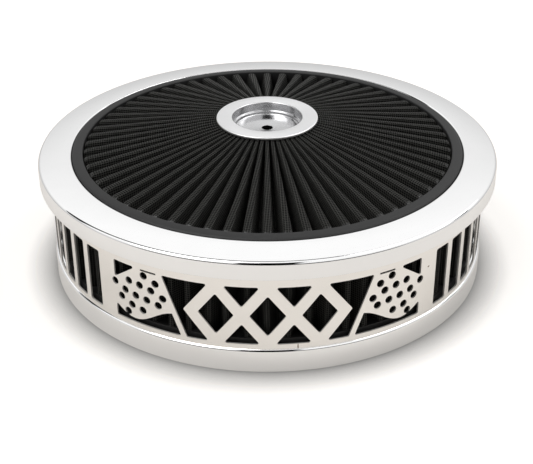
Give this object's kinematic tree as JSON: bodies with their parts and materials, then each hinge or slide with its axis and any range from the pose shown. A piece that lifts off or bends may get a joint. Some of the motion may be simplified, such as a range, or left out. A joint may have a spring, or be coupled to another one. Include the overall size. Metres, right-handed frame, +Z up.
{
  "type": "carburetor air cleaner",
  "caption": "Round engine air cleaner: pressed base pan, pleated side filter behind a cut-out sheet band, and a lid whose top is a second pleated filter round a stepped hub cup.",
  "frame": {"origin": "centre of the air cleaner on the surface that it stands on, at the foot of the base pan's skirt", "axes": "+Z up along the stud's axis, -Y the front with the flags and the middle lattice, +X to the right seen from the front"},
  "size_m": [0.3556, 0.3556, 0.1176],
  "materials": {
    "chromed_steel": "bright chrome plate on pressed steel",
    "chromed_band": "bright plate on rolled sheet",
    "turned_aluminium": "turned, satin",
    "zinc_plated_steel": "zinc plated",
    "urethane": "moulded, matt dark grey",
    "filter_gauze": "pleated black cotton gauze under fine wire mesh",
    "black_rubber": "matt"
  },
  "bodies": {
    "root": {"lid_rim": "chromed_steel", "lid_filter_rim": "urethane", "lid_filter_pleats": "filter_gauze", "hub_cup": "turned_aluminium", "hub_potting": "urethane", "hub_backing_plate": "zinc_plated_steel", "side_filter_pleats": "filter_gauze", "side_filter_lower_cap": "urethane", "side_filter_upper_cap": "urethane", "surround_band": "chromed_band", "band_splice_plate": "zinc_plated_steel", "band_rivets": "zinc_plated_steel", "base_pan": "chromed_steel", "neck_gasket": "black_rubber"}
  },
  "joints": []
}
